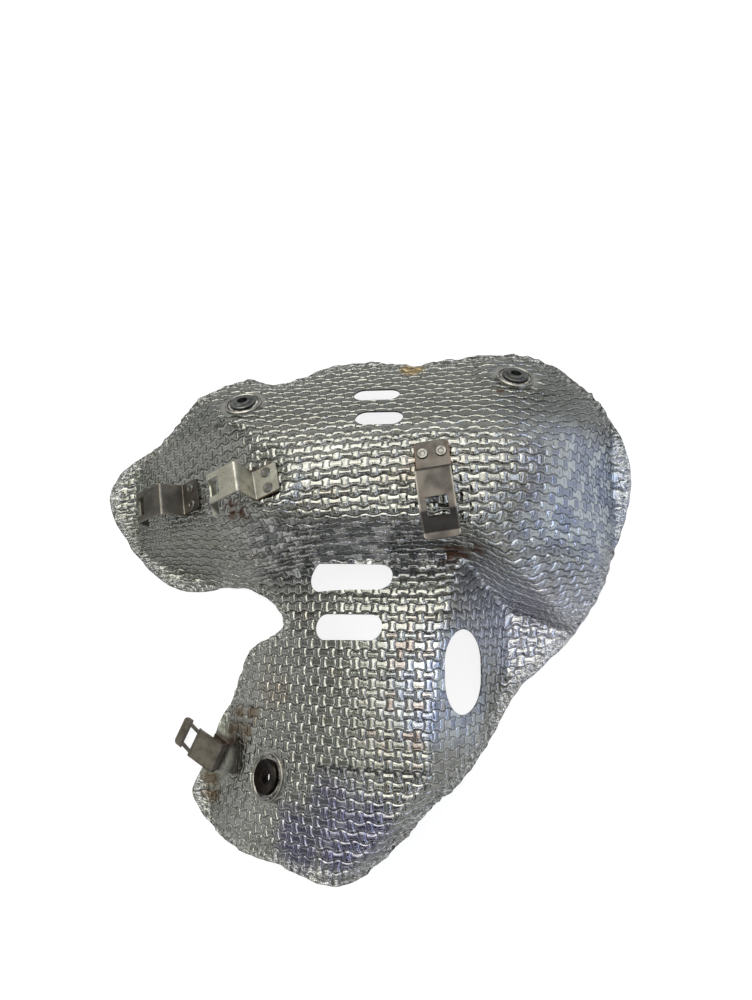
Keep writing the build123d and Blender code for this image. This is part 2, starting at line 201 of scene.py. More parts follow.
def face_axes(point, slopes):
    """Point, two in-face directions and normal of a tilted face."""
    sx, sy = slopes
    normal = np.array([-sx, -sy, 1.0]) / math.sqrt(1 + sx * sx + sy * sy)
    across = np.array([1.0, 0.0, sx]) / math.hypot(1, sx)
    return np.array(point), across, np.cross(normal, across), normal


def seat_axes(seat):
    """Middle, two in-face directions and normal of a flat seat."""
    return face_axes(seat[0], seat[1])


def hole_axes(x, y, turn):
    """Middle, two in-face directions and punch direction of a hole, from the form's slopes there."""
    middle, across, other, normal = face_axes((x, y, float(formed(x, y))), mean_slopes(x, y, clip_pad_radius / 4))
    c, s = math.cos(math.radians(turn)), math.sin(math.radians(turn))
    return middle, c * across + s * other, c * other - s * across, normal


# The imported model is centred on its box, so the retaining ring's box gives the step to that frame.
ring_low, ring_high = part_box("upper_left_ring")
seat_point, _, _, seat_normal = seat_axes(bush_seats["upper_left"])
ring_middle = np.array(ring_low + ring_high) * 500.0
frame_step = ring_middle - (seat_point - seat_normal * sheet_thickness / 2)


def smooth_loop(points, count):
    """Closed cubic spline through points: tangents from the cyclic system that makes curvature continuous."""
    n = len(points)
    ahead = np.roll(points, -1, axis=0)
    run = np.linalg.norm(ahead - points, axis=1)
    before = np.roll(run, 1)
    matrix = np.zeros((n, n))
    index = np.arange(n)
    matrix[index, (index - 1) % n] = run
    matrix[index, index] = 2 * (run + before)
    matrix[index, (index + 1) % n] = before
    slope = (ahead - points) / run[:, None]
    right = 3 * (run[:, None] * np.roll(slope, 1, axis=0) + before[:, None] * slope)
    tangent = np.linalg.solve(matrix, right)
    knots = np.concatenate([[0], np.cumsum(run)])
    at = np.linspace(0, knots[-1], count, endpoint=False)
    k = np.searchsorted(knots, at, side="right") - 1
    t = ((at - knots[k]) / run[k])[:, None]
    h = run[k][:, None]
    p, q, m, o = points[k], ahead[k], tangent[k] * h, np.roll(tangent, -1, axis=0)[k] * h
    return (2 * t**3 - 3 * t**2 + 1) * p + (t**3 - 2 * t**2 + t) * m + (3 * t**2 - 2 * t**3) * q + (t**3 - t**2) * o


def crinkle(x, y, size, seed):
    """Smooth noise from -1 to 1: random values on a lattice, joined by smooth steps."""
    table = np.random.default_rng(seed).uniform(-1, 1, (64, 64))
    a, b = x / size, y / size
    i, j = np.floor(a).astype(int), np.floor(b).astype(int)
    s, t = a - i, b - j
    s, t = s * s * (3 - 2 * s), t * t * (3 - 2 * t)
    low = table[i % 64, j % 64] * (1 - s) + table[(i + 1) % 64, j % 64] * s
    high = table[i % 64, (j + 1) % 64] * (1 - s) + table[(i + 1) % 64, (j + 1) % 64] * s
    return low * (1 - t) + high * t


edge_loop = smooth_loop(outline, edge_points)
edge_run = np.roll(edge_loop, -1, axis=0) - np.roll(edge_loop, 1, axis=0)
edge_out = np.stack([edge_run[:, 1], -edge_run[:, 0]], axis=1) / np.linalg.norm(edge_run, axis=1)[:, None]
edge_wave = edge_wobble * crinkle(edge_loop[:, 0], edge_loop[:, 1], 5.0, 3) - edge_inset
edge_loop = edge_loop + edge_out * edge_wave[:, None]


def inside_edge(x, y):
    """Distance inside the trimmed edge: the nearest edge segment, negative outside by the crossing rule."""
    nearest = np.full(x.shape, 1e9)
    inside = np.zeros(x.shape, bool)
    for (ax, ay), (bx, by) in zip(edge_loop, np.roll(edge_loop, -1, axis=0)):
        rx, ry = bx - ax, by - ay
        t = np.clip(((x - ax) * rx + (y - ay) * ry) / (rx * rx + ry * ry), 0, 1)
        nearest = np.minimum(nearest, (x - ax - t * rx) ** 2 + (y - ay - t * ry) ** 2)
        crossing = (ay > y) != (by > y)
        inside ^= crossing & (x < rx * (y - ay) / (ry if ry else 1e-9) + ax)
    return np.sqrt(nearest) * np.where(inside, 1.0, -1.0)


holes = {name: (hole_axes(x, y, turn), length, width) for name, (x, y, length, width, turn) in punched.items()}
for name, seat in bush_seats.items():
    holes[name] = (seat_axes(seat), bush_hole[name], bush_hole[name])


def outside_hole(hole, x, y):
    """Distance outside a round-ended hole, measured in the hole's own face."""
    (middle, along, across, _), length, width = hole
    z = formed(x, y)
    offset = np.stack([x - middle[0], y - middle[1], z - middle[2]], axis=-1)
    beyond = np.maximum(np.abs(offset @ along) - (length - width) / 2, 0)
    gap = np.hypot(beyond, offset @ across) - width / 2
    return np.where(np.linalg.norm(offset, axis=-1) < length, gap, 40.0)


def metal_margin(x, y):
    """Distance from a point of the sheet to its nearest cut edge, negative where there is no metal."""
    margin = inside_edge(x, y)
    for hole in holes.values():
        margin = np.minimum(margin, outside_hole(hole, x, y))
    return margin


def grid_lines(stops, steps):
    """Grid lines with an even step between each pair of stops, closer where the form is steep."""
    runs = [np.linspace(a, b, round((b - a) / s), endpoint=False) for a, b, s in zip(stops, stops[1:], steps)]
    return np.concatenate([*runs, [stops[-1]]])


lines_x = grid_lines((-159.0, 48.0, 92.0, 108.0, 159.0), (1.02, 0.66, 0.9, 0.66))
lines_y = grid_lines((-145.0, 4.0, 44.0, 76.0, 145.0), (1.02, 0.6, 0.95, 0.78))
grid_x, grid_y = np.meshgrid(lines_x, lines_y)
grid_z = pressed(grid_x, grid_y)
run_x = np.hypot(np.diff(grid_x, axis=1), np.diff(grid_z, axis=1))
run_y = np.hypot(np.diff(grid_y, axis=0), np.diff(grid_z, axis=0))
grid_u = np.concatenate([np.zeros((len(lines_y), 1)), np.cumsum(run_x, axis=1)], axis=1)
grid_v = np.concatenate([np.zeros((1, len(lines_x))), np.cumsum(run_y, axis=0)], axis=0)
grid_u -= grid_u[:, [np.searchsorted(lines_x, 30.0)]]
grid_v -= grid_v[[np.searchsorted(lines_y, -60.0)], :]
# The press gathers the rows between panel and ridge, so that they run along the ridge again, with a bow to the left.
crown_row = np.searchsorted(lines_y, 75.0)
crown_v = grid_v[crown_row, np.searchsorted(lines_x, 0.0)]
right_part, left_part = np.clip((grid_x - 50.0) / 40.0, 0, 1), np.clip((-50.0 - grid_x) / 40.0, 0, 1)
share = np.clip((grid_y - 5.0 + 40.0 * right_part) / (35.0 + 45.0 * right_part + 25.0 * left_part), 0, 1)
bow = 0.0006 * np.maximum(45.0 - grid_x, 0) ** 2
grid_v = grid_v + share * share * (3 - 2 * share) * (crown_v - grid_v[[crown_row], :] + bow)


def on_grid(values, x, y):
    """Value at any place from the grid's values, straight between the grid's lines."""
    i = np.clip(np.searchsorted(lines_x, x, side="right") - 1, 0, len(lines_x) - 2)
    j = np.clip(np.searchsorted(lines_y, y, side="right") - 1, 0, len(lines_y) - 2)
    s = (x - lines_x[i]) / (lines_x[i + 1] - lines_x[i])
    t = (y - lines_y[j]) / (lines_y[j + 1] - lines_y[j])
    low = values[j, i] * (1 - s) + values[j, i + 1] * s
    high = values[j + 1, i] * (1 - s) + values[j + 1, i + 1] * s
    return low * (1 - t) + high * t


def weave(u, v):
    """Woven relief, 0 in the valleys to 1 on the strands: each row of cells is rounded at its two sides,
    1 - (2 b)^4, and every other cell of it is arched along the row, 1 - (2 a)^2. The cells' sides sway by
    sines, so that the rows run in waves, and every other row stands higher by a sine."""
    a, b = u / weave_cell, v / weave_cell
    a, b = (
        a - weave_sway * np.cos(np.pi * a) * np.sin(np.pi * b),
        b + weave_sway * np.cos(np.pi * b) * np.sin(np.pi * a),
    )
    odd = (np.floor(a) + np.floor(b)) % 2 > 0.5
    fa, fb = a - np.floor(a) - 0.5, b - np.floor(b) - 0.5
    arch = np.where(odd, 1.0, 1 - 4 * fa * fa)
    return 0.7 * (1 - (2 * fb) ** 4) * (0.62 + 0.38 * arch) + 0.15 * (1 + np.sin(np.pi * b))


def sheet_point(x, y, margin, depth):
    """Point of the worked sheet: the form sunk along its normal by the weave's valleys and the hem's crumple."""
    slope_x, slope_y = slopes_at(x, y)
    u, v = on_grid(grid_u, x, y), on_grid(grid_v, x, y)
    flat = np.ones(np.shape(x))
    for name, seat in bush_seats.items():
        flat *= np.clip((seat_reach(seat, x, y) - bush_hole[name] / 2 - ring_cover) / ring_fade, 0, 1)
    flat *= np.clip((seat_reach(clip_seats["lower_clip"], x, y) - smooth_reach) / smooth_fade, 0, 1)
    edge = np.clip((inside_edge(x, y) - 2.0) / (6.0 + 3.0 * crinkle(u, v, 14.0, 9)), 0, 1)
    rows = np.clip(margin / 3.0, 0, 1) * flat * (0.25 + 0.75 * edge)
    pressed_flat = 0.75 + 0.4 * crinkle(u, v, 26.0, 8)
    hem = (1 - edge) * flat
    folds = crinkle(u, v, 2.6, 5) + 0.8 * crinkle(u, v, 5.2, 6)
    sink = weave_depth * rows * pressed_flat * (1 - weave(u, v)) + hem * (0.3 + 0.75 * folds) + depth
    length = np.sqrt(1 + slope_x**2 + slope_y**2)
    sunk = (x + slope_x * sink / length, y + slope_y * sink / length, formed(x, y) - sink / length)
    point = (np.stack(sunk, axis=-1) + frame_step) / 1000.0
    point[..., 2] = np.maximum(point[..., 2], floor_gap)
    return point, np.stack([u / 1000.0, v / 1000.0, hem, 1 - flat], axis=-1)


def cut_grid(xs, ys, depth):
    """Grid of the sheet with the cells over metal kept and their outer points moved onto the cut edge."""
    x, y = np.meshgrid(xs, ys)
    margin = metal_margin(x, y)
    middle = (margin[:-1, :-1] + margin[1:, :-1] + margin[:-1, 1:] + margin[1:, 1:]) / 4
    keep = middle > 0
    count = np.zeros(x.shape, int)
    count[:-1, :-1] += keep
    count[1:, :-1] += keep
    count[:-1, 1:] += keep
    count[1:, 1:] += keep
    border = (count > 0) & (count < 4)
    for _ in range(3):
        bx, by = x[border], y[border]
        gap = metal_margin(bx, by)
        gx = (metal_margin(bx + 0.05, by) - gap) / 0.05
        gy = (metal_margin(bx, by + 0.05) - gap) / 0.05
        pull = np.clip(gap / np.maximum(gx * gx + gy * gy, 0.2), -1.0, 1.0)
        x[border] -= pull * gx
        y[border] -= pull * gy
    margin[border] = 0.0
    used = count > 0
    number = np.cumsum(used).reshape(used.shape) - 1
    quads = np.stack([number[:-1, :-1], number[:-1, 1:], number[1:, 1:], number[1:, :-1]], axis=-1)[keep]
    points, places = sheet_point(x[used], y[used], margin[used], depth)
    return points, places, quads


def strip(rows, places):
    """Points, places and faces of a band made of closed rows of points, each row joined to the next."""
    rows = np.asarray(rows)
    n, m = rows.shape[:2]
    here = np.arange(n * m).reshape(n, m)
    ahead = np.roll(here, -1, axis=1)
    quads = np.stack([here[:-1], ahead[:-1], ahead[1:], here[1:]], axis=-1).reshape(-1, 4)
    return rows.reshape(-1, 3), np.asarray(places).reshape(n * m, -1), quads


def hem_band():
    """Hem: a round fold and a turned-under leaf carried along the trimmed edge."""
    x, y = edge_loop[:, 0], edge_loop[:, 1]
    slope_x, slope_y = slopes_at(x, y)
    length = np.sqrt(1 + slope_x**2 + slope_y**2)[:, None]
    normal = np.stack([-slope_x, -slope_y, np.ones(len(x))], axis=1) / length
    out = np.column_stack([edge_out, np.sum(edge_out * np.stack([slope_x, slope_y], axis=1), axis=1)])
    out /= np.linalg.norm(out, axis=1)[:, None]
    base, place = sheet_point(x, y, np.zeros(len(x)), 0.0)
    half = hem_thickness / 2
    turn = np.linspace(90, -90, 7)
    profile = [(half * math.cos(math.radians(a)) * 0.8, half * math.sin(math.radians(a)) - half) for a in turn]
    profile += [(-hem_width * 0.5, -hem_thickness), (-hem_width, -hem_thickness), (-hem_width, -sheet_thickness)]
    rows = np.array([base + (out * a + normal * b) / 1000.0 for a, b in profile])
    rows[..., 2] = np.maximum(rows[..., 2], 0.0)
    return strip(rows, [place] * len(rows))


def hole_wall(hole):
    """Cut wall of a hole: its round-ended edge dropped onto the form along the punch, then down the thickness."""
    (middle, along, across, normal), length, width = hole
    angle = np.linspace(0, 2 * np.pi, 96, endpoint=False)
    straight = (length - width) / 2 * np.sign(np.cos(angle))
    flat = middle + np.outer(straight + width / 2 * np.cos(angle), along)
    flat = flat + np.outer(width / 2 * np.sin(angle), across)
    drop = np.zeros(len(angle))
    for _ in range(12):
        p = flat + drop[:, None] * normal
        drop -= (p[:, 2] - formed(p[:, 0], p[:, 1])) * 0.7 * normal[2]
    p = flat + drop[:, None] * normal
    top, place = sheet_point(p[:, 0], p[:, 1], np.zeros(len(p)), 0.0)
    low, _ = sheet_point(p[:, 0], p[:, 1], np.zeros(len(p)), sheet_thickness)
    return strip([top, low], [place, place])


def joined(parts):
    """Several sets of points, places and faces as one, with the face numbers carried on."""
    offsets = np.cumsum([0] + [len(p[0]) for p in parts[:-1]])
    faces = np.concatenate([p[2] + o for p, o in zip(parts, offsets)])
    return np.concatenate([p[0] for p in parts]), np.concatenate([p[1] for p in parts]), faces


def make_piece(name, points, places, quads, slot):
    """Mesh object with smooth faces, riding on the part. Its UV maps hold the places on its own surface, and
    after them how far each point is crumpled and flattened."""
    mesh = bpy.data.meshes.new(name)
    mesh.vertices.add(len(points))
    mesh.vertices.foreach_set("co", np.ascontiguousarray(points, np.float32).ravel())
    mesh.loops.add(quads.size)
    mesh.loops.foreach_set("vertex_index", np.ascontiguousarray(quads, np.int32).ravel())
    mesh.polygons.add(len(quads))
    mesh.polygons.foreach_set("loop_start", np.arange(0, quads.size, 4, dtype=np.int32))
    mesh.update(calc_edges=True)
    mesh.validate()
    for k, label in zip(range(0, places.shape[1], 2), ("surface", "worked")):
        uv = mesh.uv_layers.new(name=label)
        uv.data.foreach_set("uv", np.ascontiguousarray(places[quads.ravel(), k:k + 2], np.float32).ravel())
    mesh.polygons.foreach_set("use_smooth", np.ones(len(quads), bool))
    piece = bpy.data.objects.new(name, mesh)
    bpy.context.scene.collection.objects.link(piece)
    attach(piece, "root")
    return piece


outer = cut_grid(lines_x, lines_y, 0.0)
inner_points, inner_places, inner_quads = cut_grid(lines_x[::2], lines_y[::2], sheet_thickness)
inner = (inner_points, inner_places, inner_quads[:, ::-1])
walls = [hole_wall(hole) for hole in holes.values()]
sheet = make_piece("embossed_sheet", *joined([outer, inner, hem_band(), *walls]), "sheet_metal")
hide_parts("shield_sheet")


def connect(tree, node, inputs):
    """Sets a node's inputs, each to a value or to another node's output."""
    for key, value in inputs.items():
        if isinstance(value, bpy.types.NodeSocket):
            tree.links.new(value, node.inputs[key])
        else:
            node.inputs[key].default_value = value


def put(tree, kind, inputs=None, **settings):
    """New node with its settings and inputs."""
    node = tree.nodes.new(kind)
    for key, value in settings.items():
        setattr(node, key, value)
    connect(tree, node, inputs or {})
    return node


def calc(tree, operation, a, b=0.0, c=0.0, clamp=False):
    """Output of one sum."""
    return put(tree, "ShaderNodeMath", {0: a, 1: b, 2: c}, operation=operation, use_clamp=clamp).outputs[0]


def times(tree, product, *factors):
    """Output of a product of two or more values."""
    for factor in factors:
        product = calc(tree, "MULTIPLY", product, factor)
    return product


def vector_calc(tree, operation, a, b=(0.0, 0.0, 0.0)):
    """Output of one vector sum: a value where it measures, and otherwise a vector."""
    measures = operation in ("LENGTH", "DISTANCE", "DOT_PRODUCT")
    node = put(tree, "ShaderNodeVectorMath", {0: a, 1: b}, operation=operation)
    return node.outputs["Value" if measures else "Vector"]


def blend_colour(tree, share, a, b):
    """Output that goes from colour a to colour b by a share."""
    return put(tree, "ShaderNodeMix", {0: share, 6: a, 7: b}, data_type="RGBA").outputs[2]


def tint(tree, colour, mask, strength, to):
    """Colour moved towards another by a mask times a strength."""
    return blend_colour(tree, times(tree, mask, strength), colour, to)


def ramp(tree, value, low, high):
    """Smooth step of a value, from 0 at one level to 1 at another."""
    levels = {0: value, 1: low, 2: high, 3: 0.0, 4: 1.0}
    return put(tree, "ShaderNodeMapRange", levels, interpolation_type="SMOOTHSTEP").outputs[0]


def between(tree, value, low, full, fading, high):
    """Mask of a stretch of a value, with a smooth step at both ends."""
    return times(tree, ramp(tree, value, low, full), ramp(tree, value, high, fading))


def noise(tree, place, scale, detail, roughness=0.5):
    """Output of a noise texture, about 0.5 on average."""
    inputs = {"Vector": place, "Scale": scale, "Detail": detail, "Roughness": roughness}
    return put(tree, "ShaderNodeTexNoise", inputs).outputs[0]


def bump(tree, height, strength, distance, below=None):
    """Normal raised by a height, on top of another normal if there is one."""
    inputs = {"Height": height, "Strength": strength, "Distance": distance}
    if below is not None:
        inputs["Normal"] = below
    return put(tree, "ShaderNodeBump", inputs).outputs[0]


def new_group(name, inputs, outputs):
    """Empty node group. An input with no default value is a vector, and all others and the outputs are values."""
    group = bpy.data.node_groups.new(name, "ShaderNodeTree")
    for label, value in inputs.items():
        kind = "NodeSocketVector" if value is None else "NodeSocketFloat"
        socket = group.interface.new_socket(label, in_out="INPUT", socket_type=kind)
        if value is not None:
            socket.default_value = value
    for label in outputs:
        group.interface.new_socket(label, in_out="OUTPUT", socket_type="NodeSocketFloat")
    return group, group.nodes.new("NodeGroupInput").outputs, group.nodes.new("NodeGroupOutput")


def from_group(tree, group, inputs):
    """Outputs of a node group placed in a tree."""
    return put(tree, "ShaderNodeGroup", inputs, node_tree=group).outputs


def woven_relief():
    """Group: the strands' height, a tone for each cell, and masks of the valleys and of the beads beside them,
    from places on the surface. The cells sway as in weave(). A row's section is 1 - (2 b)^2.4. Every other cell
    is arched along the row by (2 a)^2.6, and the rest are notched at their ends by 0.6 (2 a)^9."""
    group, start, end = new_group(
        "woven_relief",
        {"Place": None, "Cell": weave_cell / 1000.0, "Sway": weave_sway, "Stray": 0.0012, "Square": 0.0},
        ("Height", "Tone", "Valley", "Bead"),
    )
    wander = put(group, "ShaderNodeTexNoise", {"Vector": start["Place"], "Scale": 160.0, "Detail": 2.0})
    centred = vector_calc(group, "SUBTRACT", wander.outputs["Color"], (0.5, 0.5, 0.5))
    stray = put(group, "ShaderNodeVectorMath", {0: centred, "Scale": start["Stray"]}, operation="SCALE")
    moved = vector_calc(group, "ADD", start["Place"], stray.outputs[0])
    u, v, _ = put(group, "ShaderNodeSeparateXYZ", {0: moved}).outputs
    a, b = calc(group, "DIVIDE", u, start["Cell"]), calc(group, "DIVIDE", v, start["Cell"])
    turn_a, turn_b = times(group, a, math.pi), times(group, b, math.pi)
    sway_a = times(group, calc(group, "COSINE", turn_a), calc(group, "SINE", turn_b))
    sway_b = times(group, calc(group, "COSINE", turn_b), calc(group, "SINE", turn_a))
    a = calc(group, "SUBTRACT", a, times(group, sway_a, start["Sway"]))
    b = calc(group, "ADD", b, times(group, sway_b, start["Sway"]))
    column, row = calc(group, "FLOOR", a), calc(group, "FLOOR", b)
    fa = calc(group, "SUBTRACT", calc(group, "SUBTRACT", a, column), 0.5)
    fb = calc(group, "SUBTRACT", calc(group, "SUBTRACT", b, row), 0.5)
    odd = calc(group, "FLOORED_MODULO", calc(group, "ADD", column, row), 2.0)
    odd = calc(group, "GREATER_THAN", odd, 0.5)
    side = times(group, calc(group, "ABSOLUTE", fa), 2.0)
    off_row = calc(group, "ABSOLUTE", fb)
    arch = calc(group, "POWER", side, 2.6)
    notch = times(group, calc(group, "POWER", side, 9.0), 0.6)
    drop = calc(group, "ADD", times(group, odd, calc(group, "SUBTRACT", notch, arch)), arch)
    bend = calc(group, "POWER", times(group, off_row, 2.0), 2.4)
    bend = times(group, bend, calc(group, "MULTIPLY_ADD", start["Square"], -0.4, 1.0))
    drop = times(group, drop, calc(group, "MULTIPLY_ADD", start["Square"], 0.30, 0.38))
    strand = times(group, calc(group, "SUBTRACT", 1.0, bend), calc(group, "SUBTRACT", 1.0, drop))
    rows = calc(group, "SINE", times(group, b, math.pi))
    bead = ramp(group, calc(group, "ABSOLUTE", calc(group, "SUBTRACT", off_row, 0.34)), 0.10, 0.01)
    height = calc(group, "MULTIPLY_ADD", rows, 0.26, strand)
    height = calc(group, "MULTIPLY_ADD", bead, 0.08, height)
    cell = put(group, "ShaderNodeCombineXYZ", {0: column, 1: row}).outputs[0]
    tone = put(group, "ShaderNodeTexWhiteNoise", {"Vector": cell}, noise_dimensions="3D").outputs["Value"]
    valley = ramp(group, off_row, 0.44, 0.50)
    connect(group, end, {"Height": height, "Tone": tone, "Valley": valley, "Bead": bead})
    return group


def ragged_patch():
    """Group: a patch round a point, soft and ragged at its edge."""
    group, start, end = new_group(
        "ragged_patch",
        {"Place": None, "Middle": None, "Reach": 0.02, "Ragged": 0.01, "Grain": 120.0},
        ("Mask",),
    )
    rough = calc(group, "SUBTRACT", noise(group, start["Place"], start["Grain"], 4.0), 0.5)
    away = vector_calc(group, "DISTANCE", start["Place"], start["Middle"])
    away = calc(group, "ADD", away, times(group, rough, start["Ragged"]))
    near = calc(group, "SUBTRACT", start["Reach"], away)
    share = calc(group, "DIVIDE", near, times(group, start["Reach"], 0.6), clamp=True)
    connect(group, end, {"Mask": share})
    return group


relief_group = woven_relief()
patch_group = ragged_patch()


def framed(x, y, z):
    """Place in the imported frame, metres, of a place in the press's own frame, millimetres."""
    return tuple((np.array([x, y, z]) + frame_step) / 1000.0)


def patches(tree, place, *spots):
    """Mask of ragged patches on the sheet, each a plan place, a reach, a raggedness and a grain."""
    masks = []
    for x, y, reach, ragged, grain in spots:
        values = {"Place": place, "Middle": framed(x, y, float(formed(x, y))), "Grain": grain}
        values.update({"Reach": reach / 1000.0, "Ragged": ragged / 1000.0})
        masks.append(from_group(tree, patch_group, values)["Mask"])
    mask = masks[0]
    for other in masks[1:]:
        mask = calc(tree, "MAXIMUM", mask, other)
    return mask


def new_material(name):
    """Material with its shader and output, ready for links."""
    material = bpy.data.materials.new(name)
    material.use_nodes = True
    tree = material.node_tree
    tree.nodes.clear()
    shader = put(tree, "ShaderNodeBsdfPrincipled")
    put(tree, "ShaderNodeOutputMaterial", {0: shader.outputs[0]})
    return material, tree, shader


def object_place(tree):
    """Output with the places on a piece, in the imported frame."""
    return put(tree, "ShaderNodeTexCoord").outputs["Object"]


def embossed_steel():
    """Bright steel with painted shade in the valleys, blue and bronze where the heat was (the blue partly a painted
    reflection), painted reflections and highlights, and rust round the clips.
    """
    material, tree, shader = new_material("embossed_steel")
    place = object_place(tree)
    surface = put(tree, "ShaderNodeUVMap", uv_map="surface").outputs[0]
    worked = put(tree, "ShaderNodeUVMap", uv_map="worked").outputs[0]
    crumpled, flattened, _ = put(tree, "ShaderNodeSeparateXYZ", {0: worked}).outputs
    x, y, _ = put(tree, "ShaderNodeSeparateXYZ", {0: place}).outputs
    relief = from_group(tree, relief_group, {"Place": surface, "Square": ramp(tree, y, 0.012, -0.012)})
    height, tone = relief["Height"], relief["Tone"]
    cloud = noise(tree, place, 34.0, 5.0, 0.6)
    fleck = noise(tree, surface, 420.0, 3.0, 0.6)
    grain = noise(tree, place, 1500.0, 2.0)

    # Heat tints and painted reflections: warm heat-tint clouds, a paler right side that is a painted reflection, a
    # blue right side that is partly heat tint and partly a painted reflection, a navy front facet that is a painted
    # dark reflection, and bronze heat-tint plates on the panel
    colour = blend_colour(tree, tone, (0.30, 0.305, 0.28, 1), (0.40, 0.405, 0.375, 1))
    colour = tint(tree, colour, ramp(tree, cloud, 0.52, 0.74), 0.7, (0.33, 0.28, 0.22, 1))
    # Painted reflection: the right side is coloured paler, as if it mirrored the bright room.
    pale = patches(tree, place, (100.0, -4.0, 56.0, 40.0, 40.0))
    colour = tint(tree, colour, pale, 0.75, (0.62, 0.63, 0.69, 1))
    # Partly heat tint, partly painted reflection: blue patches whose brighter cells turn near-white blue like a
    # mirrored sky.
    blue_tint_and_reflection = patches(tree, place, (60.0, -44.0, 38.0, 36.0, 50.0), (130.0, 58.0, 62.0, 50.0, 40.0))
    blue_tint_and_reflection_colours = blend_colour(tree, ramp(tree, tone, 0.35, 0.75), (0.42, 0.49, 0.68, 1), (0.82, 0.91, 1.0, 1))
    colour = tint(tree, colour, blue_tint_and_reflection, 0.75, blue_tint_and_reflection_colours)
    # Painted dark reflection: the down-facing front facet is coloured navy for the dark it would mirror.
    navy_painted_reflection = patches(tree, place, (4.0, -112.0, 30.0, 30.0, 50.0), (-20.0, -120.0, 22.0, 24.0, 60.0))
    colour = tint(tree, colour, navy_painted_reflection, 0.8, (0.17, 0.165, 0.27, 1))
    bronze = patches(tree, place, (34.0, -60.0, 26.0, 40.0, 90.0), (40.0, -24.0, 20.0, 30.0, 90.0))
    bronze = times(tree, bronze, ramp(tree, tone, 0.55, 0.75))
    colour = tint(tree, colour, bronze, 0.7, (0.25, 0.185, 0.165, 1))

    # Reflections that the room can't give: a dull back and left end, dark and bright plates on the front wall
    dull = calc(tree, "MAXIMUM", ramp(tree, y, 0.082, 0.102), times(tree, ramp(tree, x, -0.05, -0.09), 0.4))
    colour = tint(tree, colour, dull, 0.8, (0.17, 0.18, 0.16, 1))
    wall = times(tree, between(tree, y, 0.006, 0.016, 0.036, 0.046), between(tree, x, -0.07, -0.03, 0.05, 0.08))
    plates = blend_colour(tree, ramp(tree, tone, 0.45, 0.75), (0.10, 0.105, 0.13, 1), (0.74, 0.74, 0.76, 1))
    colour = tint(tree, colour, wall, 0.6, plates)

    # Painted light: glints and shade in the hollows of the crumpled hem, highlights on the beads, shade in the
    # valleys, and paler flattened seats
    # Painted highlight: bright glints in the crumpled hem.
    colour = tint(tree, colour, times(tree, crumpled, ramp(tree, fleck, 0.51, 0.58)), 0.7, (0.86, 0.86, 0.83, 1))
    # Painted shade: dark hollows in the crumpled hem.
    colour = tint(tree, colour, times(tree, crumpled, ramp(tree, fleck, 0.45, 0.37)), 0.5, (0.07, 0.07, 0.065, 1))
    # Painted highlight: the beads beside the valleys are coloured bright where the fleck noise allows.
    bead_highlight = times(tree, relief["Bead"], ramp(tree, fleck, 0.30, 0.55))
    colour = tint(tree, colour, bead_highlight, 0.5, (0.86, 0.86, 0.82, 1))
    # Painted shade: the valleys are coloured dark, patchy by the clouds.
    valley_shade = times(tree, relief["Valley"], ramp(tree, cloud, 0.35, 0.65))
    colour = tint(tree, colour, valley_shade, 0.35, (0.06, 0.06, 0.055, 1))
    # Painted reflection: the flattened seats and their fades are coloured paler so they do not mirror the dark room.
    colour = tint(tree, colour, flattened, 0.6, (0.52, 0.52, 0.48, 1))

    # Brown stain by the lower clip, rust by the other clips, a scorch at the back edge
    stain = patches(
        tree, place,
        (-68.0, -65.0, 9.0, 9.0, 260.0), (-57.0, -63.6, 9.0, 9.0, 260.0), (-71.0, -75.0, 9.0, 9.0, 260.0),
        (-61.0, -73.4, 9.0, 9.0, 260.0), (-86.0, -101.2, 8.0, 7.0, 260.0), (-84.3, -109.0, 9.0, 9.0, 260.0),
    )
    stain = times(tree, stain, ramp(tree, height, 1.5, 0.4))
    colour = tint(tree, colour, stain, 0.85, (0.17, 0.10, 0.045, 1))
    rust = patches(
        tree, place,
        (-59.0, 48.9, 7.0, 10.0, 330.0), (-50.0, 46.5, 8.0, 12.0, 330.0), (56.0, 25.8, 8.0, 12.0, 330.0),
        (64.0, 25.6, 9.0, 12.0, 330.0), (72.0, 27.0, 8.0, 12.0, 330.0), (86.0, 112.0, 3.0, 5.0, 330.0),
    )
    rust = times(tree, rust, ramp(tree, tone, 1.0, 0.6), ramp(tree, height, 1.6, 0.5))
    colour = blend_colour(tree, rust, colour, (0.095, 0.038, 0.014, 1))
    scorch = patches(tree, place, (36.0, 132.0, 9.0, 8.0, 200.0))
    colour = tint(tree, colour, scorch, 0.8, (0.42, 0.29, 0.10, 1))

    # Painted shadow of a fold across the front facet: a dark line in waves as long as two cells
    along = put(tree, "ShaderNodeSeparateXYZ", {0: surface}).outputs[0]
    wave = calc(tree, "SINE", times(tree, along, 628.0))
    off = calc(tree, "ABSOLUTE", calc(tree, "MULTIPLY_ADD", wave, 0.0009, calc(tree, "ADD", y, 0.0845)))
    fold_shadow_line = times(tree, ramp(tree, off, 0.0017, 0.0006), between(tree, x, -0.018, -0.006, 0.044, 0.054))
    # Painted shadow: the fold's dark line.
    colour = tint(tree, colour, fold_shadow_line, 0.75, (0.05, 0.05, 0.055, 1))

